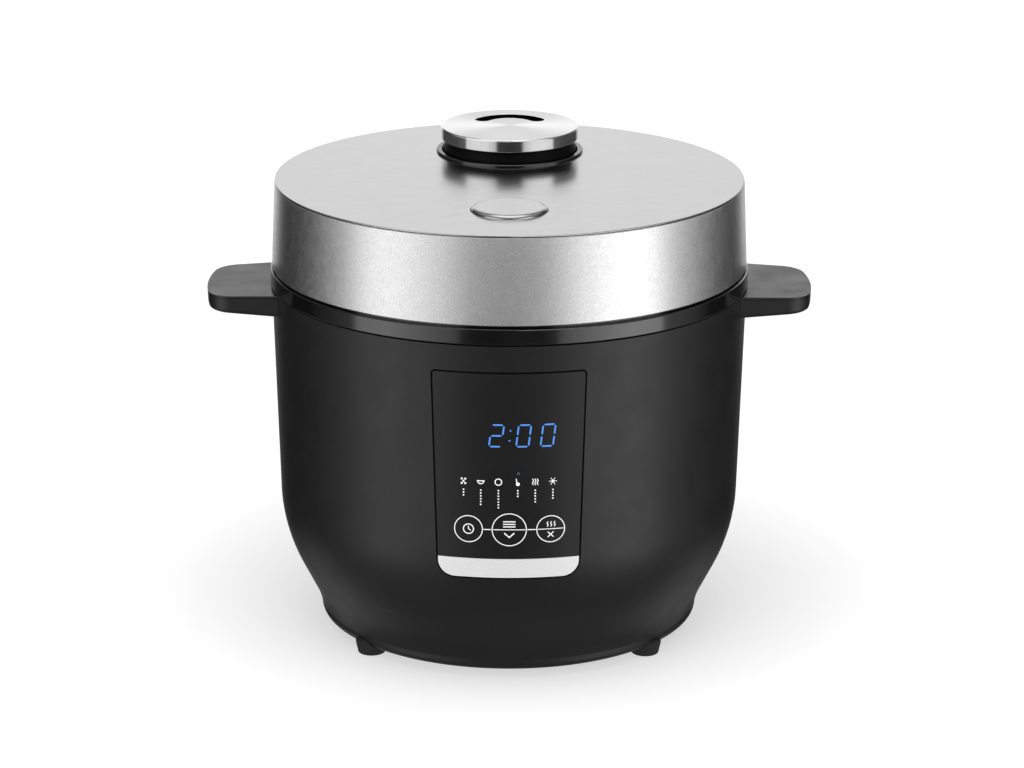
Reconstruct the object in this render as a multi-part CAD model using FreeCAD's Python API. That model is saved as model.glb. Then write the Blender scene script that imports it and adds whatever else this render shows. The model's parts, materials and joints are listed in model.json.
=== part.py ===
"""Electric multicooker: bowl-sided body with two side handles, a drop-in pot on a heating plate, and a hinged lid
with a push-button latch and a lift-out steam valve.

Sizes are millimetres and +Z is up. Every shape is drawn about the body's own vertical axis with the floor at z = 0.
The rear hinge stands out behind the body, so export() moves everything forward by AXIS_SHIFT, which puts the origin
under the middle of the whole object.
"""
import FreeCAD, Part
import math
import os

V = FreeCAD.Vector

# Driving dimensions of the body
SEAM_Z = 190.5          # where the lid meets the body
CASING_TOP_R, CASING_EDGE = 127.3, 0.4
SHOULDER_R, SHOULDER_Z = 124.15, 76.0
SLOPE_R, SLOPE_Z = 114.2, 36.7
WAIST_R, WAIST_Z = 107.9, 24.3
SKIRT_R, SKIRT_Z = 102.9, 11.0
BASE_R, BASE_Z = 98.8, 5.0
WALL = 2.5
DECK_R = 124.6
DECK_TOP = 190.3
POT_R, POT_FLANGE_R, POT_WALL = 98.0, 104.0, 1.8
POT_FLOOR_Z, POT_TOP_Z = 58.5, 185.4
LINER_R, LINER_FLOOR_Z = 103.0, 36.0

# Driving dimensions of the lid
LID_GAP = 0.4
RIM_R, RIM_TOP_Z = 128.0, 199.1
BAND_R, BAND_TOP_R = 127.0, 125.05
BAND_Z0, BAND_Z1 = 200.5, 245.9
LID_TOP_Z, LID_TOP_R = 246.9, 124.8
BUTTON_Y, BUTTON_R, BUTTON_TRAVEL = -72.5, 19.8, 4.0
VENT_Y, CAP_R, CAP_Z0, CAP_TOP_Z = 58.0, 37.5, 254.2, 261.1
SLOT_R, SLOT_WIDTH, SLOT_HALF_ANGLE, SLOT_Y = 17.4, 8.6, 58.0, 61.6

# Hinge, latch and drip cup
HINGE_Y, HINGE_Z, HINGE_PIN_R, HINGE_BORE_R = 137.5, 197.0, 2.5, 2.55
LATCH_Y, LATCH_Z, LATCH_PIN_R = -112.0, 214.0, 1.5
REAR_Y = 148.0
AXIS_SHIFT = -(REAR_Y - RIM_R) / 2

# Handles
HANDLE_ROOT_X, HANDLE_TIP_X, HANDLE_TOP_Z = 128.0, 161.9, 189.55
HANDLE_HALF_W, HANDLE_TAPER, HANDLE_CORNER_R = 34.5, 0.116, 13.5
HANDLE_T, HANDLE_RISE, HANDLE_TILT = 11.7, 0.083, 2.0
COVER_T, GROOVE = 1.0, 0.4

# Control panel, drawn on the casing's front as seen from the front
PANEL_TOP_Z, PANEL_BOTTOM_Z = 175.6, 64.9
PANEL_TOP_HALF_W, PANEL_BOTTOM_HALF_W = 38.8, 36.0
PANEL_CORNER_R, PANEL_TOP_CORNER_R, PANEL_GAP = 8.5, 1.5, 0.9
STRIP_TOP_Z = 75.4
KEY_Z = 91.6
KEYS = {"key_left": (-20.5, 7.5), "key_middle": (0.4, 9.1), "key_right": (21.6, 7.5)}
KEY_CLEARANCE = 0.2
BOARD_Y = -111.0
DISPLAY = (-24.5, 27.5, 133.0, 152.0)      # x from, x to, z from, z to


# ---- helpers ----------------------------------------------------------------------------------------------------

def outline(points):
    """A face in the XZ plane from (r, z) points; a third value makes the edge that reaches the point an arc, with
    that much bulge to the left of the way it runs."""
    edges = []
    last = points[0]
    for point in points[1:] + points[:1]:
        a = V(last[0], 0, last[1])
        b = V(point[0], 0, point[1])
        if len(point) == 3 and point is not points[0]:
            side = V(a.z - b.z, 0, b.x - a.x).normalize() * point[2]
            edges.append(Part.Arc(a, (a + b) * 0.5 + side, b).toShape())
        else:
            edges.append(Part.LineSegment(a, b).toShape())
        last = point
    return Part.Face(Part.Wire(edges))


def turned(points, x=0.0, y=0.0):
    """The solid that the outline sweeps round a vertical axis at x, y."""
    solid = outline(points).revolve(V(0, 0, 0), V(0, 0, 1), 360)
    if solid.Volume < 0:
        solid.reverse()
    solid.translate(V(x, y, 0))
    return solid


def box(x0, x1, y0, y1, z0, z1):
    return Part.makeBox(x1 - x0, y1 - y0, z1 - z0, V(x0, y0, z0))


def rod(r, z0, z1, x=0.0, y=0.0):
    return Part.makeCylinder(r, z1 - z0, V(x, y, z0))


def rod_x(r, x0, x1, y, z):
    return Part.makeCylinder(r, x1 - x0, V(x0, y, z), V(1, 0, 0))


def rod_y(r, y0, y1, x, z):
    return Part.makeCylinder(r, y1 - y0, V(x, y0, z), V(0, 1, 0))


def tube(r_in, r_out, z0, z1, x=0.0, y=0.0):
    return rod(r_out, z0, z1, x, y).cut(rod(r_in, z0 - 1, z1 + 1, x, y))


def joined(shapes):
    whole = shapes[0]
    for shape in shapes[1:]:
        whole = whole.fuse(shape)
    return whole.removeSplitter()


def polar(r, degrees):
    return r * math.cos(math.radians(degrees)), r * math.sin(math.radians(degrees))


def coil(r, wire_r, z0, z1, turns, x=0.0, y=0.0):
    """A helical spring whose wire stays between z0 and z1."""
    rise = z1 - z0 - 2 * wire_r
    path = Part.makeLongHelix(rise / turns, rise, r)
    section = Part.Wire(Part.makeCircle(wire_r, V(r, 0, 0), V(0, 1, 0)))
    spring = Part.Wire(path.Edges).makePipeShell([section], True, True)
    spring.translate(V(x, y, z0 + wire_r))
    return spring


def arc_slot(r, width, half_angle, z0, z1, y):
    """A curved slot with round ends, centred on the rear side of a vertical axis at y."""
    ring = tube(r - width / 2, r + width / 2, z0, z1, 0, y)
    far = r * 3
    left = polar(far, 90 + half_angle)
    right = polar(far, 90 - half_angle)
    corners = [V(0, 0, z0), V(right[0], right[1], z0), V(right[0], far * 2, z0), V(left[0], far * 2, z0),
               V(left[0], left[1], z0), V(0, 0, z0)]
    wedge = Part.Face(Part.makePolygon(corners)).extrude(V(0, 0, z1 - z0))
    wedge.translate(V(0, y, 0))
    ends = []
    for side in (-half_angle, half_angle):
        x_end, y_end = polar(r, 90 + side)
        ends.append(rod(width / 2, z0, z1, x_end, y + y_end))
    return joined([ring.common(wedge)] + ends)


def rounded(shape, radius, chosen):
    """Fillets the edges for which chosen(edge) is true."""
    edges = [edge for edge in shape.Edges if chosen(edge)]
    return shape.makeFillet(radius, edges)


def flat_at(z):
    """Chooses the edges that lie wholly at height z."""
    def chosen(edge):
        bounds = edge.BoundBox
        return abs(bounds.ZMin - z) < 1e-3 and abs(bounds.ZMax - z) < 1e-3
    return chosen


def export(name, shape):
    placed = shape.copy()
    placed.translate(V(0, AXIS_SHIFT, 0))
    if placed.ShapeType == "Compound" and len(placed.Solids) == 1:
        placed = placed.Solids[0]
    if not placed.isValid() or placed.Volume <= 0:
        print("CHECK", name, placed.ShapeType, placed.isValid(), placed.Volume)
    placed.exportStep(f"parts/{name}.step")


# ---- body shell -------------------------------------------------------------------------------------------------

def side_line(inset):
    """The casing's side below the seam down to the foot skirt, moved inwards by inset."""
    return [(SHOULDER_R - inset, SHOULDER_Z),
            (SLOPE_R - inset, SLOPE_Z, 2.27),
            (WAIST_R - inset, WAIST_Z),
            (SKIRT_R - inset, SKIRT_Z, -0.54),
            (SKIRT_R - 0.2 - inset, BASE_Z + 3.8)]


def envelope(inset=0.0):
    """The solid inside the casing's outer surface, moved inwards by inset."""
    top = SEAM_Z - 0.3
    r = CASING_TOP_R - inset
    edge = [(0, top), (r - CASING_EDGE, top), (r, top - CASING_EDGE, 0.12)]
    return turned(edge + side_line(inset) + [(BASE_R - inset, BASE_Z, 1.15), (0, BASE_Z)])


def outer_casing():
    inner = [(0, SEAM_Z + 1), (CASING_TOP_R - WALL, SEAM_Z + 1)] + side_line(WALL)
    inner += [(BASE_R - WALL - 1, BASE_Z + WALL), (BASE_R - 3.3, BASE_Z + WALL), (BASE_R - 3.3, 0), (0, 0)]
    shell = envelope().cut(turned(inner))
    shell = shell.cut(panel_prism(PANEL_GAP))
    shell = shell.cut(box(-16.8, 16.8, 100, 130, 85.7, 112.3))
    return shell


def upper_deck():
    """The ring round the pot: its inner step carries the pot's flange, and its front slot takes the latch hook."""
    deck = turned([(DECK_R, DECK_TOP), (DECK_R, 186.0), (108.0, 186.0), (106.5, 180.6), (101.5, 180.6),
                   (101.5, 183.6), (105.2, 183.6), (105.2, DECK_TOP - 1), (106.2, DECK_TOP, -0.3)])
    return deck.cut(box(-7.5, 7.5, -119.5, -109.3, 180, 192))


def base_plate():
    plate = rod(BASE_R - 3.5, BASE_Z, BASE_Z + 2.4)
    slots = []
    for row in range(-3, 4):
        for column in (-1, 1):
            y = row * 9.0
            slots.append(box(min(column * 12, column * 44), max(column * 12, column * 44), y - 1.5, y + 1.5, 0, 20))
    plate = plate.cut(Part.makeCompound(slots))
    holes = [rod(1.7, 0, 20, *polar(82, turn)) for turn in range(0, 360, 90)]
    return plate.cut(Part.makeCompound(holes))


def casing_screws():
    screws = []
    for turn in range(0, 360, 90):
        x, y = polar(82, turn)
        head = turned([(0, 3.2), (2.6, 3.2), (3.2, 4.0, -0.1), (3.2, 5.0), (0, 5.0)], x, y)
        cross = box(x - 1.6, x + 1.6, y - 0.3, y + 0.3, 2.6, 3.9).fuse(box(x - 0.3, x + 0.3, y - 1.6, y + 1.6, 2.6, 3.9))
        screws.append(head.fuse(rod(1.6, 5.0, 14.0, x, y)).cut(cross))
    return Part.makeCompound(screws)


def foot(x, y):
    """A rubber foot that tapers downwards and hugs the casing's rounded bottom edge."""
    pad = turned([(0, 0), (6.6, 0), (7.4, 0.8, -0.25), (8.5, 5.8), (7.0, 9.0, -0.6), (0, 9.0)], x, y)
    return pad.cut(envelope())


def handle_plan(inset, z0, z1):
    """The right lug seen from above: tapering sides, big round corners and a slightly bowed tip."""
    tip = HANDLE_TIP_X - inset
    root, corner = 105.0, tip - 4.4
    wide = HANDLE_HALF_W - inset + HANDLE_TAPER * (HANDLE_ROOT_X - root)
    narrow = HANDLE_HALF_W - inset + HANDLE_TAPER * (HANDLE_ROOT_X - corner)
    a, b, c, d = V(root, -wide, z0), V(corner, -narrow, z0), V(corner, narrow, z0), V(root, wide, z0)
    edges = [Part.LineSegment(a, b).toShape(),
             Part.Arc(b, V(tip, 0, z0), c).toShape(),
             Part.LineSegment(c, d).toShape(),
             Part.LineSegment(d, a).toShape()]
    plan = Part.Face(Part.Wire(edges)).extrude(V(0, 0, z1 - z0))
    return rounded(plan, HANDLE_CORNER_R - inset,
                   lambda edge: edge.BoundBox.XMin > corner - 1e-3 and edge.BoundBox.DiagonalLength < z1 - z0 + 1e-3)


def handle_underside(x):
    return HANDLE_TOP_Z - HANDLE_T + (x - HANDLE_ROOT_X + 4) * HANDLE_RISE


def placed_handle(shape, side):
    """Droops the right lug a little, trims it to the body and the rim, and turns it round for the left."""
    shape.rotate(V(HANDLE_ROOT_X, 0, HANDLE_TOP_Z), V(0, 1, 0), HANDLE_TILT)
    shape = shape.cut(envelope().fuse(rod(RIM_R + 0.4, SEAM_Z - 0.3, SEAM_Z + 5)))
    if side < 0:
        shape.rotate(V(0, 0, 0), V(0, 0, 1), 180)
    return shape


def handle(side):
    top = HANDLE_TOP_Z - COVER_T
    x0, x1, low = 100.0, 170.0, HANDLE_TOP_Z - 25
    under = [V(x0, -50, low), V(x1, -50, low), V(x1, -50, handle_underside(x1)), V(x0, -50, handle_underside(x0))]
    wedge = Part.Face(Part.makePolygon(under + [under[0]])).extrude(V(0, 100, 0))
    lug = handle_plan(0, low, top - GROOVE).cut(wedge)
    lug = rounded(lug, 2.2, lambda edge: all(abs(v.Z - handle_underside(v.X)) < 1e-3 for v in edge.Vertexes))
    return placed_handle(lug.fuse(handle_plan(0.6, top - 3, top)), side)


def handle_cover(side):
    plate = handle_plan(0, HANDLE_TOP_Z - COVER_T, HANDLE_TOP_Z)
    return placed_handle(rounded(plate, 0.45, flat_at(HANDLE_TOP_Z)), side)


# ---- control panel ----------------------------------------------------------------------------------------------

def panel_half_width(z):
    share = (z - PANEL_BOTTOM_Z) / (PANEL_TOP_Z - PANEL_BOTTOM_Z)
    return PANEL_BOTTOM_HALF_W + share * (PANEL_TOP_HALF_W - PANEL_BOTTOM_HALF_W)


def panel_prism(grow):
    """The panel's outline, grown by grow on every side and run back through the casing's front wall."""
    z0, z1 = PANEL_BOTTOM_Z - grow, PANEL_TOP_Z + grow
    w0, w1 = panel_half_width(z0) + grow, panel_half_width(z1) + grow
    corners = [V(-w0, -140, z0), V(w0, -140, z0), V(w1, -140, z1), V(-w1, -140, z1), V(-w0, -140, z0)]
    prism = Part.Face(Part.makePolygon(corners)).extrude(V(0, 40, 0))

    def depth_edge(z):
        return lambda edge: edge.BoundBox.YLength > 30 and abs(edge.BoundBox.ZMin - z) < 1e-3

    prism = rounded(prism, PANEL_CORNER_R + grow, depth_edge(z0))
    return rounded(prism, PANEL_TOP_CORNER_R + grow, depth_edge(z1))


def layer(outer_inset, inner_inset):
    """A skin of the casing's own curvature between two insets."""
    return envelope(outer_inset).cut(envelope(inner_inset))


def key_holes(extra):
    return Part.makeCompound([rod_y(r + extra, -140, -100, x, KEY_Z) for x, r in KEYS.values()])


def panel_carrier():
    plate = layer(0.6, 4.3).common(panel_prism(0))
    flange = layer(WALL + 0.1, 4.3).common(panel_prism(3.0))
    carrier = plate.fuse(flange).cut(key_holes(KEY_CLEARANCE))
    x0, x1, z0, z1 = DISPLAY
    return carrier.cut(box(x0 + 1, x1 - 1, -140, -100, z0 + 1, z1 - 1))


def panel_overlay():
    film = layer(0, 0.6).common(panel_prism(0)).common(box(-60, 60, -140, -90, STRIP_TOP_Z + 0.15, 200))
    return film.cut(key_holes(KEY_CLEARANCE))


def panel_trim_strip():
    return layer(-0.1, 0.6).common(panel_prism(0)).common(box(-60, 60, -140, -90, 50, STRIP_TOP_Z))


def key(x, r):
    """A flush key cap: its face carries on the panel's curve, and a flange behind the carrier keeps it in."""
    cap = rod_y(r, -140, -115.4, x, KEY_Z).common(envelope())
    return cap.fuse(rod_y(r + 1.2, -115.4, -114.4, x, KEY_Z))


def tact_switches():
    switches = []
    for x, r in KEYS.values():
        body = box(x - 3, x + 3, BOARD_Y - 1.8, BOARD_Y, KEY_Z - 3, KEY_Z + 3)
        switches.append(body.fuse(rod_y(1.6, BOARD_Y - 2.6, BOARD_Y - 1.8, x, KEY_Z)))
    return Part.makeCompound(switches)


def display_module():
    x0, x1, z0, z1 = DISPLAY
    return box(x0, x1, BOARD_Y - 6.5, BOARD_Y, z0, z1)


def control_board():
    board = box(-33, 33, BOARD_Y, BOARD_Y + 1.6, 78, 168)
    chips = [box(-12, 2, BOARD_Y + 1.6, BOARD_Y + 3.4, 108, 122), box(10, 22, BOARD_Y + 1.6, BOARD_Y + 4.4, 96, 103),
             box(-26, -16, BOARD_Y + 1.6, BOARD_Y + 4.4, 128, 142)]
    return joined([board] + chips)


# ---- inside the body --------------------------------------------------------------------------------------------

def inner_liner():
    return turned([(LINER_R + 0.8, 180.4), (LINER_R + 0.8, LINER_FLOOR_Z), (16, LINER_FLOOR_Z),
                   (16, LINER_FLOOR_Z + 0.8), (LINER_R, LINER_FLOOR_Z + 0.8), (LINER_R, 180.4)])


def keep_warm_band():
    band = tube(LINER_R + 0.9, LINER_R + 2.4, 110, 150)
    return band.cut(box(-32, 32, -130, 0, 100, 160))


def heating_plate():
    disc = turned([(17, POT_FLOOR_Z - 8), (17, POT_FLOOR_Z), (84, POT_FLOOR_Z), (84, POT_FLOOR_Z - 5),
                   (80, POT_FLOOR_Z - 8, 0.8)])
    legs = [rod(5, LINER_FLOOR_Z + 0.8, POT_FLOOR_Z - 7, *polar(70, turn)) for turn in (30, 150, 270)]
    return joined([disc] + legs)


def heating_element():
    """The sheathed ring under the plate, open at the rear, with its two terminals turned down."""
    z = POT_FLOOR_Z - 8 - 4
    ring = Part.makeTorus(52, 4, V(0, 0, z), V(0, 0, 1)).cut(box(-12, 12, 0, 80, z - 10, z + 10))
    ends = []
    for side in (-1, 1):
        y_end = math.sqrt(52 ** 2 - 12 ** 2)
        ends.append(rod(2.0, z - 9, z, side * 12.5, y_end))
    return joined([ring] + ends)


def thermal_fuse():
    clip = box(56, 76, -6, 6, LINER_FLOOR_Z + 0.8, LINER_FLOOR_Z + 2)
    return clip.fuse(Part.makeCylinder(2.5, 16, V(58, 0, LINER_FLOOR_Z + 4), V(1, 0, 0)))


def sensor_guide():
    return turned([(3.3, 33.2), (3.3, 36.0), (15.7, 36.0), (15.7, 35.9), (24, 35.9), (24, 34.4), (7, 34.4), (7, 33.2)])


def sensor_cup():
    """The spring-loaded cap that bears on the pot's floor."""
    top = POT_FLOOR_Z - 0.3
    return turned([(0, top), (13, top), (14, top - 1, 0.3), (14, 48), (12.8, 48), (12.8, top - 1.5), (3, top - 1.5),
                   (3, 30), (0, 30)])


def inner_pot():
    """The drawn wall of the pot, from its flange round the bottom corner to the flat floor."""
    wall = POT_WALL
    r = POT_R
    return turned([(POT_FLANGE_R, POT_TOP_Z), (POT_FLANGE_R, POT_TOP_Z - wall), (r, POT_TOP_Z - wall),
                   (r - 0.8, POT_FLOOR_Z + 16), (r - 16, POT_FLOOR_Z, 4.6), (r - 16, POT_FLOOR_Z + wall),
                   (r - 0.8 - wall, POT_FLOOR_Z + 16, -4.1), (r - wall, POT_TOP_Z - 1.5),
                   (r - wall + 1.5, POT_TOP_Z, 0.4)])


def inner_pot_floor():
    return rod(POT_R - 16, POT_FLOOR_Z, POT_FLOOR_Z + POT_WALL)


def power_board():
    z = 14.0
    board = box(-42, 30, 16, 76, z, z + 1.6)
    lumps = [box(-36, -10, 24, 46, z + 1.6, z + 18), box(-4, 12, 24, 40, z + 1.6, z + 16),
             rod(6, z + 1.6, z + 19, 20, 30), rod(5, z + 1.6, z + 16, 20, 48), box(-30, -6, 56, 68, z + 1.6, z + 12)]
    posts = [rod(3, BASE_Z + 2.4, z, x, y) for x in (-38, 26) for y in (20, 72)]
    return joined([board] + lumps + posts)


def power_inlet():
    """The socket for the detachable cord's connector, with a flange that hugs the casing."""
    body = box(-16.5, 16.5, 106, 124, 86, 112)
    flange = rounded(box(-20, 20, 118, 126.6, 82, 116), 4, lambda edge: edge.BoundBox.YLength > 8)
    flange = flange.cut(envelope())
    recess = rounded(box(-12, 12, 109, 130, 91, 107), 2.5, lambda edge: edge.BoundBox.YLength > 20)
    return joined([body, flange]).cut(recess)


def inlet_pins():
    return Part.makeCompound([box(x - 1.1, x + 1.1, 109, 119, z - 2.2, z + 2.2)
                              for x, z in ((-7, 98), (0, 101), (7, 98))])


# ---- hinge and drip cup -----------------------------------------------------------------------------------------

EAR_IN, EAR_OUT = 32.0, 42.0


def hinge_bracket():
    """The block behind the casing that carries the hinge pin in two ears and the drip cup under it."""
    floor_z, top_z = 164.0, 189.5
    block = box(-EAR_OUT, EAR_OUT, 110, REAR_Y, floor_z, top_z)
    block = rounded(block, 8, lambda edge: edge.BoundBox.ZLength > 20 and edge.BoundBox.YMin > REAR_Y - 1)
    ears = []
    rails = []
    for side in (-1, 1):
        x0, x1 = sorted((side * EAR_IN, side * EAR_OUT))
        ears.append(box(x0, x1, HINGE_Y - 7, HINGE_Y + 7, top_z - 2, HINGE_Z))
        ears.append(rod_x(7, x0, x1, HINGE_Y, HINGE_Z))
        x0, x1 = sorted((side * 28.6, side * 31.4))
        rails.append(box(x0, x1, 128.5, 146, 156.8, floor_z))
        x0, x1 = sorted((side * 26.2, side * 31.4))
        rails.append(box(x0, x1, 128.5, 146, 156.8, 158.4))
    whole = joined([block] + ears + rails).cut(envelope())
    whole = whole.cut(rod_x(HINGE_PIN_R, -EAR_OUT + 1, EAR_OUT - 1, HINGE_Y, HINGE_Z))
    return whole.cut(rod(3, floor_z - 1, top_z + 1, 0, HINGE_Y))


def hinge_pin():
    return rod_x(HINGE_PIN_R, -EAR_OUT + 1, EAR_OUT - 1, HINGE_Y, HINGE_Z)


def hinge_spring():
    spring = coil(4.1, 0.7, -10.5, 10.5, 9)
    spring.rotate(V(0, 0, 0), V(0, 1, 0), 90)
    spring.translate(V(0, HINGE_Y, HINGE_Z))
    return spring


def hinge_arm():
    """The lid's arm: a plate off the rim's rear with a barrel round the pin and a pocket for the spring."""
    barrel = rod_x(6.5, -31.6, 31.6, HINGE_Y, HINGE_Z)
    plate = box(-31.6, 31.6, 122, HINGE_Y, 192.6, RIM_TOP_Z - 0.3)
    arm = joined([barrel, plate]).cut(rim_envelope())
    arm = arm.cut(rod_x(HINGE_BORE_R, -40, 40, HINGE_Y, HINGE_Z))
    return arm.cut(rod_x(5.4, -11, 11, HINGE_Y, HINGE_Z))


def drip_cup():
    outer = box(-25.6, 25.6, 128.6, 146, 126, 160.6)
    outer = rounded(outer, 4, lambda edge: edge.BoundBox.ZLength > 20)
    rim = box(-28.2, 28.2, 128.6, 146, 158.8, 160.6)
    grip = box(-12, 12, 146, REAR_Y, 152, 156)
    hollow = rounded(box(-24, 24, 130.2, 144.4, 127.6, 165), 2.5, lambda edge: edge.BoundBox.ZLength > 20)
    return joined([outer, rim, grip]).cut(hollow)


# ---- lid --------------------------------------------------------------------------------------------------------

LID_Z0 = SEAM_Z + LID_GAP
LID_SKIN = 1.2
LID_WALL_TOP = LID_TOP_Z - LID_SKIN
RECESS_R, RECESS_Z = 106.4, 196.7
LID_SCREW_R = 116.0


RIM_LINE = [(RIM_R - 0.4, LID_Z0), (RIM_R, LID_Z0 + 0.4, -0.1), (RIM_R - 0.3, RIM_TOP_Z - 0.5),
            (RIM_R - 0.8, RIM_TOP_Z, -0.1)]


def rim_envelope():
    return turned([(0, LID_Z0)] + RIM_LINE + [(0, RIM_TOP_Z)])


def lid_base():
    """The lid's plastic lower half: its outer edge is the rim that shows under the metal band."""
    base = turned(RIM_LINE + [
        (125.4, RIM_TOP_Z), (125.4, BAND_Z0), (124.4, BAND_Z0), (123.3, LID_WALL_TOP), (121.1, LID_WALL_TOP),
        (122.4, 194.5), (RECESS_R + 2.2, 194.5), (RECESS_R + 2.2, RECESS_Z + 2.5), (0, RECESS_Z + 2.5),
        (0, RECESS_Z), (RECESS_R, RECESS_Z), (RECESS_R, LID_Z0)])
    boss = rod(16.8, RECESS_Z + 1, 228.8, 0, VENT_Y)
    posts = [box(x0, x0 + 4, LATCH_Y - 5, LATCH_Y + 5, 194, LATCH_Z + 5) for x0 in (-15.5, 11.5)]
    base = joined([base, boss] + posts)
    base = base.cut(rod(14.8, RECESS_Z - 1, 230, 0, VENT_Y))
    base = base.cut(box(-7.5, 7.5, -119.5, -109.3, 180, 196))
    base = base.cut(rod_x(LATCH_PIN_R, -20, 20, LATCH_Y, LATCH_Z))
    base = base.cut(rod(4.2, RECESS_Z - 1, RECESS_Z + 4, 55, -20))
    base = base.cut(rod(3.9, RECESS_Z - 1, RECESS_Z + 4))
    for turn in range(45, 360, 90):
        x, y = polar(LID_SCREW_R, turn)
        base = base.cut(rod(3.2, 190, 192.6, x, y)).cut(rod(1.5, 190, 196, x, y))
    return base


def lid_side_band():
    """The metal skin of the lid's side, with a hem that sits on the base's step."""
    return turned([(BAND_R - 0.4, BAND_Z0), (BAND_R, BAND_Z0 + 0.5, -0.12), (BAND_TOP_R, BAND_Z1 - 0.6),
                   (BAND_TOP_R - 0.6, BAND_Z1, -0.18), (BAND_TOP_R - LID_SKIN, BAND_Z1),
                   (BAND_R - LID_SKIN, BAND_Z0 + 1.2), (124.7, BAND_Z0 + 1.2), (124.7, BAND_Z0)])


def lid_top_plate():
    """The metal top: a flat sheet whose thin brim stands a hairline above the side band, pierced for the button
    and the steam vent."""
    plate = turned([(0, LID_WALL_TOP), (LID_TOP_R - 1.2, LID_WALL_TOP), (LID_TOP_R - 1.2, LID_TOP_Z - 0.5),
                    (LID_TOP_R, LID_TOP_Z - 0.5), (LID_TOP_R, LID_TOP_Z - 0.35), (LID_TOP_R - 0.35, LID_TOP_Z, -0.1),
                    (0, LID_TOP_Z)])
    plate = plate.cut(rod(BUTTON_R + 0.35, 230, 260, 0, BUTTON_Y))
    return plate.cut(rod(38.6, 230, 260, 0, VENT_Y))


def lid_screws():
    screws = []
    for turn in range(45, 360, 90):
        x, y = polar(LID_SCREW_R, turn)
        slot = box(x - 1.6, x + 1.6, y - 0.3, y + 0.3, 190, 191.9)
        screws.append(rod(3.0, 191.2, 192.6, x, y).fuse(rod(1.5, 192.6, 200, x, y)).cut(slot))
    return Part.makeCompound(screws)


def inner_lid_plate():
    """The washable inner lid: a pressed disc with a raised ring and steam holes under the valve."""
    plate = turned([(0, 192.6), (60, 192.6), (63, 191.4), (85, 191.4), (88, 192.6), (105.4, 192.6), (105.4, 193.6),
                    (87.6, 193.6), (84.6, 192.4), (63.4, 192.4), (60.4, 193.6), (0, 193.6)])
    holes = [rod(2, 190, 196, x, VENT_Y + y) for x, y in (polar(7, turn) for turn in range(0, 360, 60))]
    return plate.cut(Part.makeCompound(holes + [rod(3.9, 190, 196)]))


def inner_lid_gasket():
    """The silicone ring on the inner lid's edge; its lip stops just above the pot's flange."""
    return turned([(106.1, 195.6), (103.0, 195.6), (103.0, 193.6), (105.4, 193.6), (105.4, 192.6), (103.0, 192.6),
                   (103.0, 190.6), (99.6, 186.4), (99.6, 185.8), (101.6, 185.8), (106.1, 190.2)])


def inner_lid_retainer():
    return turned([(0, 189.2), (5.5, 189.2), (7, 190.4, -0.3), (7, 192.6), (3.9, 192.6), (3.9, RECESS_Z + 2.5),
                   (0, RECESS_Z + 2.5)])


def lid_sensor():
    return turned([(0, 193.7), (4, 193.7), (4, RECESS_Z + 2.5), (8, RECESS_Z + 2.5), (8, RECESS_Z + 4.5),
                   (2.5, RECESS_Z + 4.5), (2.5, RECESS_Z + 9), (0, RECESS_Z + 9)], 55, -20)


# ---- release button and latch -----------------------------------------------------------------------------------

HOUSING_Z0 = 226.0
BUTTON_INSIDE_Z = 246.2


def button_housing():
    return turned([(4.4, HOUSING_Z0), (23.3, HOUSING_Z0), (23.3, LID_WALL_TOP), (21.3, LID_WALL_TOP),
                   (21.3, HOUSING_Z0 + 2), (4.4, HOUSING_Z0 + 2)], 0, BUTTON_Y)


def release_button():
    """A hollow disc with a rounded shoulder and a stem that reaches the latch's arm."""
    top = LID_TOP_Z + 1.9
    skirt = HOUSING_Z0 + 2 + BUTTON_TRAVEL + 6
    stem = HOUSING_Z0 - BUTTON_TRAVEL
    return turned([(0, top), (BUTTON_R - 2.9, top), (BUTTON_R, LID_TOP_Z - 0.4, 0.72), (BUTTON_R, skirt),
                   (BUTTON_R - 1.5, skirt), (BUTTON_R - 1.5, BUTTON_INSIDE_Z), (4.0, BUTTON_INSIDE_Z), (4.0, stem),
                   (0, stem)], 0, BUTTON_Y)


def button_spring():
    return coil(7.8, 0.8, HOUSING_Z0 + 2, BUTTON_INSIDE_Z, 5, 0, BUTTON_Y)


def latch_hook():
    """A bell crank: its arm reaches under the button's stem and its leg drops through the lid into the deck."""
    barrel = rod_x(4.2, -11.2, 11.2, LATCH_Y, LATCH_Z)
    arm = box(-6, 6, LATCH_Y, BUTTON_Y, 214.6, 218.0)
    pad = rod_x(3.0, -6, 6, BUTTON_Y, 218.6)
    leg = box(-6, 6, LATCH_Y - 3, LATCH_Y, 181.0, LATCH_Z)
    tooth = box(-6, 6, LATCH_Y - 1, -109.6, 181.0, 185.2)
    return joined([barrel, arm, pad, leg, tooth]).cut(rod_x(LATCH_PIN_R + 0.05, -20, 20, LATCH_Y, LATCH_Z))


def latch_pin():
    return rod_x(LATCH_PIN_R, -15.5, 15.5, LATCH_Y, LATCH_Z)


# ---- steam vent -------------------------------------------------------------------------------------------------

VALVE_TOP = 231.4


def steam_vent_collar():
    """The ring round the vent: a rounded lip on the lid's top and a shallow cup below it."""
    return turned([(38.3, LID_TOP_Z), (40.2, LID_TOP_Z), (40.2, 247.4), (39.4, 248.2, -0.24), (37.7, 248.2),
                   (36.9, 247.4, -0.24), (36.9, 231.0), (14.6, 231.0), (14.6, 229.0), (38.3, 229.0)], 0, VENT_Y)


def steam_cap_body():
    body = turned([(9, VALVE_TOP), (36.5, VALVE_TOP), (36.5, 249.0), (34.0, CAP_Z0), (0, CAP_Z0), (0, CAP_Z0 - 2),
                   (31.8, CAP_Z0 - 2), (33.6, 248.6), (33.6, VALVE_TOP + 2.4), (9, VALVE_TOP + 2.4)], 0, VENT_Y)
    return body.cut(arc_slot(SLOT_R, SLOT_WIDTH + 0.6, SLOT_HALF_ANGLE, CAP_Z0 - 3, CAP_Z0 + 1, SLOT_Y))


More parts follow.
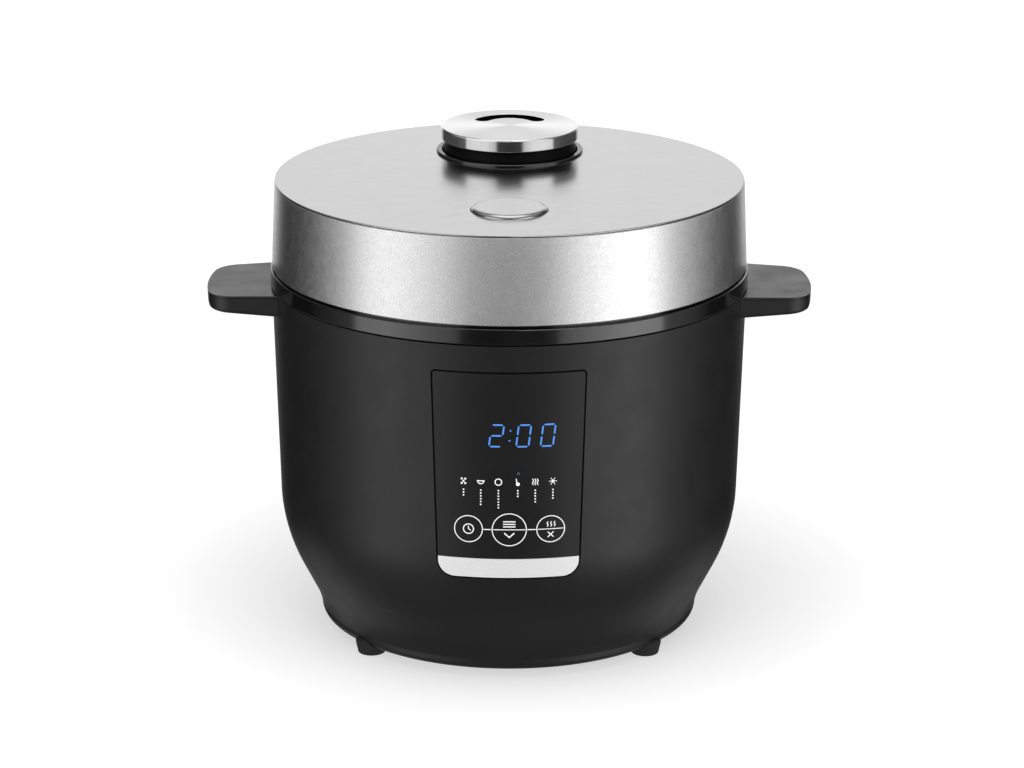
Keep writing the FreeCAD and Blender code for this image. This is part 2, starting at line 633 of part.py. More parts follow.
def steam_cap():
    disc = turned([(0, CAP_Z0), (CAP_R - 0.6, CAP_Z0), (CAP_R, CAP_Z0 + 0.6, -0.18), (CAP_R, CAP_TOP_Z - 0.8),
                   (CAP_R - 0.8, CAP_TOP_Z, -0.23), (0, CAP_TOP_Z)], 0, VENT_Y)
    return disc.cut(arc_slot(SLOT_R, SLOT_WIDTH, SLOT_HALF_ANGLE, CAP_Z0 - 1, CAP_TOP_Z + 1, SLOT_Y))


def steam_valve_cup():
    return turned([(12.8, VALVE_TOP), (12.8, 204.0), (2.6, 204.0), (4.2, 206.5), (9.0, 206.5), (9.0, VALVE_TOP)],
                  0, VENT_Y)


def steam_valve_seal():
    return turned([(12.8, 206.0), (14.2, 206.8), (14.2, 208.4), (12.8, 209.2)], 0, VENT_Y)


def vent_ball():
    return Part.makeSphere(4.5, V(0, VENT_Y, 208.5))


# ---- build ------------------------------------------------------------------------------------------------------

PARTS = {
    "outer_casing": outer_casing,
    "upper_deck": upper_deck,
    "base_plate": base_plate,
    "casing_screws": casing_screws,
    "panel_carrier": panel_carrier,
    "panel_overlay": panel_overlay,
    "panel_trim_strip": panel_trim_strip,
    "display_module": display_module,
    "control_board": control_board,
    "tact_switches": tact_switches,
    "power_board": power_board,
    "inner_liner": inner_liner,
    "keep_warm_band": keep_warm_band,
    "heating_plate": heating_plate,
    "heating_element": heating_element,
    "thermal_fuse": thermal_fuse,
    "sensor_guide": sensor_guide,
    "sensor_cup": sensor_cup,
    "inner_pot": inner_pot,
    "inner_pot_floor": inner_pot_floor,
    "power_inlet": power_inlet,
    "inlet_pins": inlet_pins,
    "hinge_bracket": hinge_bracket,
    "hinge_pin": hinge_pin,
    "hinge_spring": hinge_spring,
    "hinge_arm": hinge_arm,
    "drip_cup": drip_cup,
    "lid_base": lid_base,
    "lid_side_band": lid_side_band,
    "lid_top_plate": lid_top_plate,
    "lid_screws": lid_screws,
    "inner_lid_plate": inner_lid_plate,
    "inner_lid_gasket": inner_lid_gasket,
    "inner_lid_retainer": inner_lid_retainer,
    "lid_sensor": lid_sensor,
    "button_housing": button_housing,
    "release_button": release_button,
    "button_spring": button_spring,
    "latch_hook": latch_hook,
    "latch_pin": latch_pin,
    "steam_vent_collar": steam_vent_collar,
    "steam_cap": steam_cap,
    "steam_cap_body": steam_cap_body,
    "steam_valve_cup": steam_valve_cup,
    "steam_valve_seal": steam_valve_seal,
    "vent_ball": vent_ball,
}
SIDES = {"left": -1, "right": 1}
FEET = {"front_left": (-73.2, -62.6), "front_right": (73.2, -62.6),
        "rear_left": (-73.2, 62.6), "rear_right": (73.2, 62.6)}
SENSOR_SPRING = (7.8, 0.8, 36.0, POT_FLOOR_Z - 1.8, 5)


def build_all():
    os.makedirs("parts", exist_ok=True)
    for name, make in PARTS.items():
        export(name, make())
    for name, side in SIDES.items():
        export(f"handle_{name}", handle(side))
        export(f"handle_cover_{name}", handle_cover(side))
    for name, (x, y) in FEET.items():
        export(f"foot_{name}", foot(x, y))
    for name, (x, r) in KEYS.items():
        export(name, key(x, r))
    export("sensor_spring", coil(*SENSOR_SPRING))


build_all()
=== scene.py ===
"""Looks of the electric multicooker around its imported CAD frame.

Sizes on the object are millimetres, which mm() turns into Blender's metres. The grain depths of materials, the
floor and the camera are in metres. +Z is up, the front is at -Y and the floor is at 0.
"""
import bpy
import bmesh
import json
import math
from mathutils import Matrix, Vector


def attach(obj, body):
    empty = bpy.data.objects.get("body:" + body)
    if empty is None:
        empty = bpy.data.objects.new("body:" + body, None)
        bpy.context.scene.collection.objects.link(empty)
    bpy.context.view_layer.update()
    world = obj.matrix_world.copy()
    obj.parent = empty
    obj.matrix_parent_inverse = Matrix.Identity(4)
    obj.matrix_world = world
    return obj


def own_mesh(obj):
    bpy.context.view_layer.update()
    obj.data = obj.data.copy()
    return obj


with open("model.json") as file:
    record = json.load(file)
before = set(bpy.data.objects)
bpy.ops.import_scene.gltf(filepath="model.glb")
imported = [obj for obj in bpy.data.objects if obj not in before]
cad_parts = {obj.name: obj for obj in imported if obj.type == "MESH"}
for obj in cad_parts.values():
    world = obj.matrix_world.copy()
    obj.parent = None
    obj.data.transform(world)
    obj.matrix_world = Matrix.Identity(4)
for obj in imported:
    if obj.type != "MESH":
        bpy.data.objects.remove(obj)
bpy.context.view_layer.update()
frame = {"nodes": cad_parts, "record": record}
nodes = frame["nodes"]

AXIS_Y = -10.0                    # the body's own axis
SHOULDER_R, SHOULDER_Z = 124.15, 76.0    # the casing's straight front, from here
CASING_TOP_R, CASING_TOP_Z = 127.3, 190.2    # to here
KEY_Z = 91.6
KEYS = {"key_left": (-20.5, 7.5), "key_middle": (0.4, 9.1), "key_right": (21.6, 7.5)}


def mm(value):
    return value * 0.001


# ---- nodes -------------------------------------------------------------------------------------------

class Graph:
    """Adds nodes to a node tree. A value is a constant or another node's output."""

    def __init__(self, tree):
        self.tree = tree

    def link(self, a, b):
        self.tree.links.new(a, b)

    def feed(self, socket, value):
        if isinstance(value, (int, float, tuple)):
            socket.default_value = value
        else:
            self.link(value, socket)

    def math(self, kind, a, b=0.0):
        node = self.tree.nodes.new("ShaderNodeMath")
        node.operation = kind
        self.feed(node.inputs[0], a)
        self.feed(node.inputs[1], b)
        return node.outputs["Value"]

    def ranged(self, value, low, high, from_low=0.0, from_high=1.0, kind="LINEAR"):
        node = self.tree.nodes.new("ShaderNodeMapRange")
        node.interpolation_type = kind
        node.inputs["From Min"].default_value = from_low
        node.inputs["From Max"].default_value = from_high
        node.inputs["To Min"].default_value = low
        node.inputs["To Max"].default_value = high
        self.link(value, node.inputs["Value"])
        return node.outputs["Result"]

    def mixed(self, factor, a, b):
        node = self.tree.nodes.new("ShaderNodeMix")
        node.data_type = "RGBA"
        self.feed(node.inputs["Factor"], factor)
        self.feed(node.inputs["A"], a)
        self.feed(node.inputs["B"], b)
        return node.outputs["Result"]

    def ramp(self, factor, stops):
        """A colour ramp through stops, which are positions and colours in rising order."""
        node = self.tree.nodes.new("ShaderNodeValToRGB")
        elements = node.color_ramp.elements
        elements[0].position, elements[1].position = stops[0][0], stops[-1][0]
        elements[0].color, elements[1].color = (*stops[0][1], 1), (*stops[-1][1], 1)
        for position, colour in stops[1:-1]:
            elements.new(position).color = (*colour, 1)
        self.link(factor, node.inputs["Fac"])
        return node.outputs["Color"]


class Nodes(Graph):
    """Builds one material's node tree."""

    def __init__(self, name):
        self.material = bpy.data.materials.new(name)
        self.material.use_nodes = True
        super().__init__(self.material.node_tree)
        self.shader = self.tree.nodes["Principled BSDF"]
        self.where = self.tree.nodes.new("ShaderNodeTexCoord").outputs["Object"]

    def set(self, **values):
        for key, value in values.items():
            self.shader.inputs[key.replace("_", " ")].default_value = value
        return self

    def stretched(self, x, y, z):
        node = self.tree.nodes.new("ShaderNodeMapping")
        node.inputs["Scale"].default_value = (x, y, z)
        self.link(self.where, node.inputs["Vector"])
        return node.outputs["Vector"]

    def noise(self, scale, detail=3.0, rough=0.5, vector=None):
        node = self.tree.nodes.new("ShaderNodeTexNoise")
        node.inputs["Scale"].default_value = scale
        node.inputs["Detail"].default_value = detail
        node.inputs["Roughness"].default_value = rough
        self.link(vector or self.where, node.inputs["Vector"])
        return node.outputs["Fac"]

    def base(self, factor, low, high, at_low=0.3, at_high=0.7):
        self.link(self.ramp(factor, [(at_low, low), (at_high, high)]), self.shader.inputs["Base Color"])
        return self

    def rough(self, factor, low, high):
        self.link(self.ranged(factor, low, high, 0.3, 0.7), self.shader.inputs["Roughness"])
        return self

    def bump(self, height, depth, strength=1.0):
        node = self.tree.nodes.new("ShaderNodeBump")
        node.inputs["Strength"].default_value = strength
        node.inputs["Distance"].default_value = depth
        self.link(height, node.inputs["Height"])
        self.link(node.outputs["Normal"], self.shader.inputs["Normal"])
        return self

    def radial(self):
        node = self.tree.nodes.new("ShaderNodeTangent")
        node.direction_type = "RADIAL"
        node.axis = "Z"
        self.link(node.outputs["Tangent"], self.shader.inputs["Tangent"])
        return self


# ---- materials ---------------------------------------------------------------------------------------

def grey(value, blue=0.0):
    return (value, value, value + blue)


def plastic(name, shade, rough, grain_scale, grain_depth, spread=0.06, specular=0.5):
    """Moulded plastic: a fine spark-eroded grain, slow changes of gloss and a slight change of shade."""
    m = Nodes(name)
    slow = m.noise(22, 3)
    fine = m.noise(grain_scale, 3, 0.6)
    m.base(slow, grey(shade * 0.92), grey(shade * 1.08, shade * 0.02))
    m.rough(m.noise(60, 4), rough - spread, rough + spread)
    m.bump(fine, grain_depth, 0.35)
    return m.set(Specular_IOR_Level=specular).material


def metal(name, low, high, rough, spread, grain_scale, grain_depth, strength=0.3, turned=0.0):
    """Bare metal. turned is how far its highlights are drawn out across the rings that a lathe leaves."""
    m = Nodes(name)
    fine = m.noise(grain_scale, 2, 0.6)
    m.base(m.math("ADD", m.math("MULTIPLY", fine, 0.6), m.math("MULTIPLY", m.noise(40, 3), 0.4)), low, high)
    m.rough(m.noise(70, 4), rough - spread, rough + spread)
    m.bump(fine, grain_depth, strength)
    m.set(Metallic=1.0)
    if turned:
        m.radial()
        m.set(Anisotropic=turned)
    return m.material


def casing_black():
    """Satin plastic, a little bluish where it is lightest."""
    m = Nodes("casing_black")
    fine = m.noise(1500, 3, 0.65)
    m.base(m.noise(30, 3), grey(0.0055), grey(0.0075, 0.0002))
    m.rough(m.noise(90, 4), 0.36, 0.42)
    m.bump(fine, 0.00003, 0.5)
    return m.set(Specular_IOR_Level=0.5).material


def band_silver():
    """Metallic finish with a fine grain that sparkles a little; its lobe is drawn out up and down."""
    m = Nodes("band_silver")
    fine = m.noise(1400, 2, 0.7)
    m.base(fine, grey(0.58), grey(0.78, 0.004), 0.32, 0.68)
    m.rough(m.noise(300, 3), 0.28, 0.34)
    m.bump(fine, 0.00003, 0.35)
    m.radial()
    return m.set(Metallic=1.0, Anisotropic=0.3).material


def cap_steel():
    """Turned on a lathe: fine rings on the flat top and a polished edge."""
    m = Nodes("cap_steel")
    geometry = m.tree.nodes.new("ShaderNodeNewGeometry")
    split = m.tree.nodes.new("ShaderNodeSeparateXYZ")
    m.link(geometry.outputs["True Normal"], split.inputs["Vector"])
    flat = m.ranged(split.outputs["Z"], 0.0, 1.0, 0.75, 0.98)
    m.base(m.noise(35, 3), grey(0.82), grey(0.87, 0.004))
    m.link(m.ranged(flat, 0.05, 0.28), m.shader.inputs["Roughness"])
    m.link(m.ranged(flat, 0.1, 0.9), m.shader.inputs["Anisotropic"])
    m.radial()
    return m.set(Metallic=1.0, Anisotropic_Rotation=0.25).material


def lid_silver():
    """Satin sheet brushed from left to right, so reflections stretch front to back."""
    m = Nodes("lid_silver")
    fine = m.noise(1.0, 2, 0.6, m.stretched(120, 2400, 2400))
    m.base(fine, grey(0.48), grey(0.54, 0.003))
    m.rough(m.noise(70, 4), 0.20, 0.24)
    m.bump(fine, 0.000004, 0.2)
    along = m.tree.nodes.new("ShaderNodeCombineXYZ")
    along.inputs["X"].default_value = 1.0
    m.link(along.outputs["Vector"], m.shader.inputs["Tangent"])
    return m.set(Metallic=1.0, Anisotropic=0.6).material


def trim_silver():
    """Silver paint under a satin lacquer: mostly scattering, with a little mirror, and a faint glow that is
    painted light.
    """
    m = Nodes("trim_silver")
    fine = m.noise(2000, 2, 0.6)
    m.base(fine, grey(0.80), grey(0.90))
    m.rough(m.noise(70, 4), 0.42, 0.48)
    m.bump(fine, 0.00001, 0.2)
    # painted light: the trim glows a little, though it is no lamp
    m.set(Emission_Color=(*grey(0.8), 1), Emission_Strength=0.10)
    return m.set(Metallic=0.25).material


MATERIALS = {
    "casing_black": casing_black(),
    "cover_black": plastic("cover_black", 0.012, 0.34, 1500, 0.00002),
    "gloss_black": plastic("gloss_black", 0.003, 0.11, 900, 0.000003, 0.02, 1.0),
    "panel_film": plastic("panel_film", 0.005, 0.38, 2200, 0.000008, 0.02),
    "key_film": plastic("key_film", 0.005, 0.37, 2200, 0.000008, 0.02),
    "panel_plastic": plastic("panel_plastic", 0.012, 0.45, 1200, 0.00003),
    "trim_silver": trim_silver(),
    "lid_silver": lid_silver(),
    "band_silver": band_silver(),
    "cap_steel": cap_steel(),
    "white_plastic": plastic("white_plastic", 0.70, 0.40, 900, 0.00002),
    "smoke_plastic": plastic("smoke_plastic", 0.03, 0.15, 600, 0.00001, 0.03),
    "silicone": plastic("silicone", 0.62, 0.55, 900, 0.00003),
    "foot_rubber": plastic("foot_rubber", 0.012, 0.75, 1100, 0.00008),
    "screw_steel": metal("screw_steel", grey(0.45), grey(0.55), 0.30, 0.05, 2500, 0.00002),
    "inlet_brass": metal("inlet_brass", (0.70, 0.55, 0.28), (0.80, 0.65, 0.36), 0.25, 0.05, 2500, 0.00001),
    "liner_steel": metal("liner_steel", grey(0.48), grey(0.60), 0.35, 0.06, 90, 0.00002),
    "pot_coated": plastic("pot_coated", 0.035, 0.38, 1600, 0.00003),
    "inner_lid_aluminium": metal("inner_lid_aluminium", grey(0.65), grey(0.69), 0.27, 0.01, 1600, 0.000004,
                                 0.1, 0.5),
    "heater_aluminium": metal("heater_aluminium", grey(0.50), grey(0.60), 0.35, 0.05, 900, 0.00004, 0.3, 0.7),
    "warm_band_foil": metal("warm_band_foil", grey(0.65), grey(0.75), 0.22, 0.05, 120, 0.0002),
    "board_green": plastic("board_green", 0.05, 0.40, 900, 0.00003),
    "display_window": plastic("display_window", 0.008, 0.12, 900, 0.00001, 0.02),
    "switch_black": plastic("switch_black", 0.015, 0.40, 1200, 0.00003),
}

slots = {part["node"]: part["material_slot"] for part in frame["record"]["subparts"]}
for name, node in nodes.items():
    node.data.materials.clear()
    node.data.materials.append(MATERIALS[slots[name]])
# the steam cap's inner body is matt, unlike the other pieces of its slot, and darker with a weaker mirror as
# painted shade for the shadow under the cap
nodes["steam_cap_body"].data.materials[0] = plastic("matt_black_painted_shade", 0.002, 0.5, 1200, 0.00002, specular=0.12)

# the button and the sensor's cup go down by these travels; the springs under them get meshes of their own
BUTTON_TRAVEL, SENSOR_TRAVEL = 4.0, 2.0
for name, joint, travel in (("button_spring", "press_release_button", BUTTON_TRAVEL),
                            ("sensor_spring", "press_sensor", SENSOR_TRAVEL)):
    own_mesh(nodes[name])


# ---- printing on the panel ---------------------------------------------------------------------------

INK_TOP, INK_FOOT = 0.07, -0.03   # over and under the surface
LINE_W = 0.45


def plain(name, colour, rough=0.45, glow=0.0):
    """Printed ink, or a lit one; glow makes it shine, as a lamp does or as painted light."""
    m = Nodes(name)
    m.base(m.noise(900, 2), tuple(c * 0.93 for c in colour), colour)
    m.rough(m.noise(600, 2), rough - 0.04, rough + 0.04)
    m.bump(m.noise(2500, 2), 0.000006, 0.3)
    if glow:
        m.set(Emission_Color=(*colour, 1), Emission_Strength=glow)
    return m.material


# painted light: the white print glows, though it is no lamp
INK_WITH_PAINTED_GLOW = plain("white_ink_painted_glow", (0.92, 0.92, 0.92), 0.45, 0.35)
LIT = plain("lit_blue", (0.06, 0.22, 0.66), 0.4, 0.62)
DIM = plain("dim_blue", (0.03, 0.07, 0.16), 0.4, 0.12)


def on_casing(x, z, lift):
    """The point of the casing's front at x and z, lifted off it."""
    share = (z - SHOULDER_Z) / (CASING_TOP_Z - SHOULDER_Z)
    r = SHOULDER_R + share * (CASING_TOP_R - SHOULDER_R) + lift
    return Vector((mm(x), mm(AXIS_Y - math.sqrt(r * r - x * x)), mm(z)))


class Print:
    """Thin raised ink made of strokes and dots, drawn in x and z and laid on the casing's curve."""

    def __init__(self, name, material, body):
        self.name, self.material, self.body = name, material, body
        self.mesh = bmesh.new()

    def points(self, outline, lift):
        return [self.mesh.verts.new(on_casing(x, z, lift)) for x, z in outline]

    def quad_strip(self, left, right, closed):
        """A closed flat bar between the outlines left and right."""
        top = [self.points(side, INK_TOP) for side in (left, right)]
        low = [self.points(side, INK_FOOT) for side in (left, right)]
        count = len(left)
        for i in range(count if closed else count - 1):
            j = (i + 1) % count
            self.mesh.faces.new((top[0][i], top[0][j], top[1][j], top[1][i]))
            self.mesh.faces.new((low[0][j], low[0][i], low[1][i], low[1][j]))
            self.mesh.faces.new((top[0][j], top[0][i], low[0][i], low[0][j]))
            self.mesh.faces.new((top[1][i], top[1][j], low[1][j], low[1][i]))
        if not closed:
            for i in (0, count - 1):
                self.mesh.faces.new((top[0][i], top[1][i], low[1][i], low[0][i]))

    def stroke(self, points, width=LINE_W, closed=False, taper=0.0):
        """A stroke along points; taper is the length over which its ends narrow to a point."""
        longest_step, widest_corner, blunt_end = 1.0, 1.4, 0.06
        fine = []
        pairs = list(zip(points, points[1:] + points[:1]))
        for (ax, az), (bx, bz) in pairs if closed else pairs[:-1]:
            steps = max(1, math.ceil(math.hypot(bx - ax, bz - az) / longest_step))
            fine += [(ax + (bx - ax) * k / steps, az + (bz - az) * k / steps) for k in range(steps)]
        if not closed:
            fine.append(points[-1])
        if taper:
            first, last = Vector(points[0]), Vector(points[-1])
            along = (last - first).normalized()
            fine.insert(1, tuple(first + along * taper))
            fine.insert(len(fine) - 1, tuple(last - along * taper))
            fine.sort(key=lambda p: (Vector(p) - first).dot(along))
        left, right = [], []
        count = len(fine)
        for i, point in enumerate(fine):
            before = fine[i - 1] if (i or closed) else point
            after = fine[(i + 1) % count] if (i < count - 1 or closed) else point
            run_in = Vector(point) - Vector(before)
            run_out = Vector(after) - Vector(point)
            run_in = run_in.normalized() if run_in.length > 1e-6 else run_out.normalized()
            run_out = run_out.normalized() if run_out.length > 1e-6 else run_in
            way = (run_in + run_out).normalized()
            side = Vector((-way.y, way.x))
            reach = min(widest_corner, 1 / max(0.3, way.dot(run_in)))
            half = width / 2 * reach
            if taper and i in (0, count - 1):
                half = width * blunt_end
            left.append(tuple(Vector(point) + side * half))
            right.append(tuple(Vector(point) - side * half))
        self.quad_strip(left, right, closed)
        return self

    def ring(self, x, z, r, width=LINE_W, start=0, turn=360):
        """A ring round x and z, or an arc of it, in degrees from start."""
        steps = max(12, int(abs(turn) / 360 * r * 10))
        points = [(x + r * math.cos(math.radians(start + turn * k / steps)),
                   z + r * math.sin(math.radians(start + turn * k / steps))) for k in range(steps + 1)]
        if abs(turn) >= 360:
            return self.stroke(points[:-1], width, True)
        return self.stroke(points, width)

    def dot(self, x, z, r):
        """A filled round dot."""
        sides = 16
        turns = [math.tau * k / sides for k in range(sides)]
        rim = [(x + r * math.cos(turn), z + r * math.sin(turn)) for turn in turns]
        top, low = self.points(rim, INK_TOP), self.points(rim, INK_FOOT)
        self.mesh.faces.new(top)
        self.mesh.faces.new(low[::-1])
        for k in range(sides):
            self.mesh.faces.new((top[k - 1], low[k - 1], low[k], top[k]))
        return self

    def make(self, slot):
        bmesh.ops.recalc_face_normals(self.mesh, faces=self.mesh.faces)
        mesh = bpy.data.meshes.new(self.name)
        self.mesh.to_mesh(mesh)
        self.mesh.free()
        piece = bpy.data.objects.new(self.name, mesh)
        bpy.context.scene.collection.objects.link(piece)
        mesh.materials.append(self.material)
        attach(piece, self.body)
        return piece


SEGMENTS = {"0": "abcdef", "2": "abged"}
DIGIT_H, DIGIT_W, DIGIT_Z, SLANT = 11.6, 6.3, 142.6, 0.12
SEGMENT_W, SEGMENT_GAP, SEGMENT_POINT = 0.85, 0.45, 0.5


def digit(ink, value, x, z):
    """Seven slanted segments round the centre x, z."""
    h, w = DIGIT_H / 2, DIGIT_W / 2
    ends = {"a": ((-w, h), (w, h)), "b": ((w, h), (w, 0)), "c": ((w, 0), (w, -h)),
            "d": ((-w, -h), (w, -h)), "e": ((-w, 0), (-w, -h)), "f": ((-w, h), (-w, 0)),
            "g": ((-w, 0), (w, 0))}
    for segment in SEGMENTS[value]:
        (ax, az), (bx, bz) = ends[segment]
        a = Vector((x + ax + az * SLANT, z + az))
        b = Vector((x + bx + bz * SLANT, z + bz))
        gap = (b - a).normalized() * SEGMENT_GAP
        ink.stroke([tuple(a + gap), tuple(b - gap)], SEGMENT_W, taper=SEGMENT_POINT)


clock = Print("display_digits", LIT, "body")
for value, x in (("2", -6.2), ("0", 7.6), ("0", 20.0)):
    digit(clock, value, x, DIGIT_Z)
clock.dot(0.9, DIGIT_Z + 2.8, 0.45).dot(0.4, DIGIT_Z - 2.6, 0.45)
clock.make("display_window")
Print("program_lamp", DIM, "body").dot(5.0, 122.3, 0.85).make("display_window")

links = Print("panel_links", INK_WITH_PAINTED_GLOW, "body")
links.stroke([(-12.85, KEY_Z), (-8.9, KEY_Z)])
links.stroke([(9.7, KEY_Z), (14.0, KEY_Z)])
links.make("panel_film")


def clock_sign(ink, x, z):
    ink.ring(x, z, 2.6, 0.5).stroke([(x, z + 1.6), (x, z), (x + 1.2, z - 0.8)])


def menu_sign(ink, x, z):
    """Three bars over an arrowhead that points down."""
    for row in (1.6, 3.0, 4.4):
        ink.stroke([(x - 3.2, z + row), (x + 3.2, z + row)], 0.55)
    ink.stroke([(x - 2.6, z - 1.8), (x, z - 4.2), (x + 2.6, z - 1.8)], 0.6)


def keep_warm_sign(ink, x, z):
    """Three wisps of steam over a cross."""
    for shift in (-1.8, 0, 1.8):
        ink.stroke([(x + shift, z + 1.3), (x + shift + 0.5, z + 2.2), (x + shift - 0.1, z + 3.2),
                    (x + shift + 0.4, z + 4.1)])
    ink.stroke([(x - 1.5, z - 1.6), (x + 1.5, z - 4.4)], 0.5)
    ink.stroke([(x - 1.5, z - 4.4), (x + 1.5, z - 1.6)], 0.5)


KEY_SIGNS = {"key_left": clock_sign, "key_middle": menu_sign, "key_right": keep_warm_sign}
for name, (x, r) in KEYS.items():
    ink = Print(name + "_print", INK_WITH_PAINTED_GLOW, name)
    ink.ring(x, KEY_Z, r - 0.35)
    if name != "key_left":
        ink.stroke([(x - r + 0.9, KEY_Z), (x + r - 0.9, KEY_Z)], 0.4)
    KEY_SIGNS[name](ink, x, KEY_Z)
    ink.make("key_film")


# six programs: a small plain pictogram over a row of dots that runs down
SIGN_Z, FIRST_DOT, DOT_PITCH, DOT_R = 117.6, 4.6, 1.55, 0.42
PROGRAMS = (-23.0, 3), (-14.2, 6), (-5.2, 7), (4.7, 3), (13.6, 5), (22.6, 4)


def grain_sign(ink, x, z):
    for dx, dz in ((-0.9, 1.2), (0.9, 1.2), (0.0, 0.0), (-0.9, -1.2), (0.9, -1.2)):
        ink.dot(x + dx, z + dz, 0.55)


def bowl_sign(ink, x, z):
    ink.ring(x, z + 0.5, 1.6, 0.5, 180, 180).stroke([(x - 2.0, z + 0.5), (x + 2.0, z + 0.5)], 0.5)


def ring_sign(ink, x, z):
    ink.ring(x, z, 1.7, 0.5)


def spoon_sign(ink, x, z):
    ink.stroke([(x - 0.8, z + 1.8), (x - 0.5, z - 0.5)], 0.5).dot(x, z - 1.1, 1.0)


def steam_sign(ink, x, z):
    for shift in (-1.2, 0.0, 1.2):
        ink.stroke([(x + shift - 0.2, z + 1.7), (x + shift + 0.3, z + 0.5), (x + shift - 0.3, z - 0.6),
                    (x + shift + 0.2, z - 1.7)], 0.42)


def sun_sign(ink, x, z):
    ink.dot(x, z, 0.9)
    for degrees in range(0, 360, 60):
        c, s = math.cos(math.radians(degrees)), math.sin(math.radians(degrees))
        ink.stroke([(x + 1.3 * c, z + 1.3 * s), (x + 2.0 * c, z + 2.0 * s)], 0.4)


signs = Print("program_signs", INK_WITH_PAINTED_GLOW, "body")
for x, dots in PROGRAMS:
    for row in range(dots):
        signs.dot(x, SIGN_Z - FIRST_DOT - row * DOT_PITCH, DOT_R)
for sign, (x, dots) in zip((grain_sign, bowl_sign, ring_sign, spoon_sign, steam_sign, sun_sign), PROGRAMS):
    sign(signs, x, SIGN_Z)
signs.make("panel_film")


# ---- floor, light and camera -------------------------------------------------------------------------

def floor():
    """A white floor that glows a little, less so in a painted soft wide shadow round the object."""
    painted_shadow_centre, painted_shadow_near, painted_shadow_far = (0.006, 0.060, 0.0), 0.110, 0.220
    size, drop = 14.0, 0.0002
    m = Nodes("studio_floor")
    m.base(m.noise(3, 2), grey(0.54), grey(0.58))
    m.rough(m.noise(4, 2), 0.75, 0.85)
    m.bump(m.noise(40, 2), 0.0002, 0.1)
    m.set(Specular_IOR_Level=0.1, Emission_Color=(1, 1, 1, 1))
    away = m.tree.nodes.new("ShaderNodeVectorMath")
    away.operation = "DISTANCE"
    away.inputs[1].default_value = painted_shadow_centre
    m.link(m.where, away.inputs[0])
    # painted shadow: the glow falls from 0.70 to 0.53 towards the object
    glow = m.ranged(away.outputs["Value"], 0.53, 0.70, painted_shadow_near, painted_shadow_far)
    m.link(glow, m.shader.inputs["Emission Strength"])
    mesh = bpy.data.meshes.new("studio_floor")
    corners = [(-size, -size, 0), (size, -size, 0), (size, size, 0), (-size, size, 0)]
    mesh.from_pydata(corners, [], [(0, 1, 2, 3)])
    plane = bpy.data.objects.new("studio_floor", mesh)
    bpy.context.scene.collection.objects.link(plane)
    mesh.materials.append(m.material)
    plane.location.z = -drop
    plane.visible_glossy = False


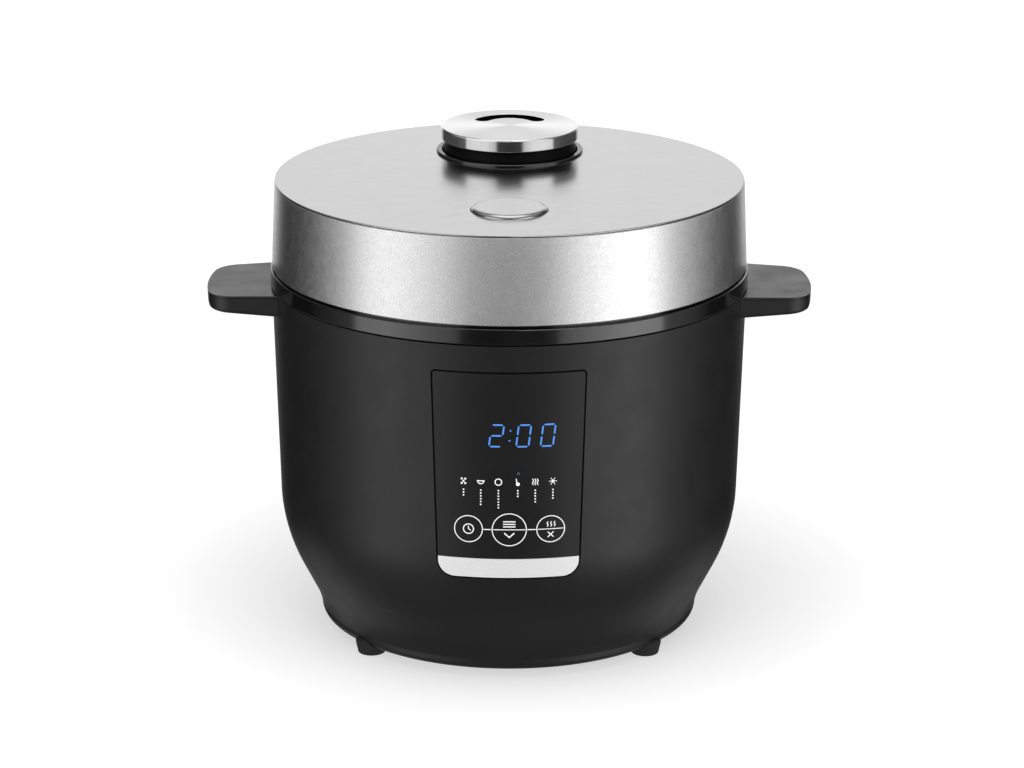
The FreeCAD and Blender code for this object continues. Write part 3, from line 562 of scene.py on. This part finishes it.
def studio():
    """A white cove with two tall soft boxes in front, left and right, dark flags at the sides and a small
    lamp in a dim ceiling. The light is set by direction: degrees from the front, and the height of the
    direction, which is -1 straight down and 1 straight up."""
    world = bpy.data.worlds.new("studio")
    world.use_nodes = True
    bpy.context.scene.world = world
    g = Graph(world.node_tree)
    new = g.tree.nodes.new

    split = new("ShaderNodeSeparateXYZ")
    g.link(new("ShaderNodeTexCoord").outputs["Generated"], split.inputs["Vector"])
    x, y, z = split.outputs
    azimuth = g.math("ARCTAN2", x, g.math("MULTIPLY", y, -1.0))
    turn = g.math("DIVIDE", g.math("ABSOLUTE", azimuth), math.pi)

    def around(*stops):
        """Light by degrees from the front."""
        return g.ramp(turn, [(degrees / 180, grey(value)) for degrees, value in stops])

    def height(low, high, at_low=0.0, at_high=1.0):
        return g.ranged(z, at_low, at_high, low, high, "SMOOTHSTEP")

    # over the horizon
    up = around((0, 0.04), (20, 0.06), (24, 0.90), (40, 1.30), (60, 1.40), (76, 1.30), (80, 0.15),
                (100, 0.06), (148, 0.08), (158, 0.70), (166, 1.00), (180, 1.08))
    # about level, which the lid's band sees
    level_left = around((0, 1.10), (12, 1.10), (24, 1.15), (40, 1.35), (60, 1.45), (74, 1.36), (90, 1.15),
                        (100, 0.70), (108, 0.30), (120, 0.06), (142, 0.02), (150, 0.50), (158, 1.25),
                        (168, 1.50), (180, 1.60))
    level_right = around((0, 1.10), (12, 1.12), (24, 1.20), (40, 1.36), (60, 1.42), (74, 1.44), (90, 1.50),
                         (104, 1.12), (118, 0.50), (130, 0.15), (142, 0.03), (150, 0.50), (158, 1.15),
                         (168, 0.95), (180, 0.90))
    # lower, which the casing sees
    left = around((0, 0.03), (16, 0.05), (22, 0.12), (25, 0.55), (40, 1.00), (60, 1.60), (76, 1.35),
                  (79, 0.30), (92, 0.15), (110, 0.02), (152, 0.01), (160, 0.12), (170, 0.60), (180, 0.80))
    right = around((0, 0.03), (16, 0.06), (22, 0.15), (25, 0.75), (40, 1.45), (60, 2.20), (76, 1.90),
                   (79, 0.45), (92, 0.30), (110, 0.03), (152, 0.01), (160, 0.09), (170, 0.40), (180, 0.60))
    # from the floor
    below = around((0, 0.20), (60, 0.20), (90, 0.14), (110, 0.20), (128, 0.52), (140, 0.42), (152, 0.24),
                   (180, 0.20))

    ceiling, lamp, behind_from = (*grey(0.35), 1), (*grey(1.60), 1), 0.82
    rightwards = g.math("GREATER_THAN", x, 0.0)
    behind = g.math("GREATER_THAN", turn, behind_from)
    level = g.mixed(rightwards, level_left, level_right)
    light = g.mixed(rightwards, left, right)
    light = g.mixed(height(-0.165, -0.125), light, level)
    light = g.mixed(g.math("MULTIPLY", height(-0.28, -0.24), behind), light, level)
    light = g.mixed(height(0.0, 0.08), light, up)
    light = g.mixed(height(0.42, 0.62), light, ceiling)
    light = g.mixed(height(0.84, 0.92), light, lamp)
    light = g.mixed(height(-0.58, -0.40, 1.0, 0.0), light, below)
    seen = g.mixed(new("ShaderNodeLightPath").outputs["Is Camera Ray"], light, (1.0, 1.0, 1.0, 1.0))
    g.link(seen, g.tree.nodes["Background"].inputs["Color"])


def camera():
    """In front of the object, looking down on it a little."""
    down, lean = 17.43, 0.146     # degrees
    data = bpy.data.cameras.new("camera")
    data.lens = 120.9
    data.sensor_width = 36.0
    data.clip_end = 100.0
    cam = bpy.data.objects.new("camera", data)
    bpy.context.scene.collection.objects.link(cam)
    cam.location = (0.0016, -1.790, 0.6895)
    cam.rotation_euler = (math.radians(90 - down), 0, 0)
    cam.rotation_euler.rotate_axis("Z", math.radians(lean))
    bpy.context.scene.camera = cam


floor()
studio()
camera()
bpy.context.scene.view_settings.view_transform = "Standard"
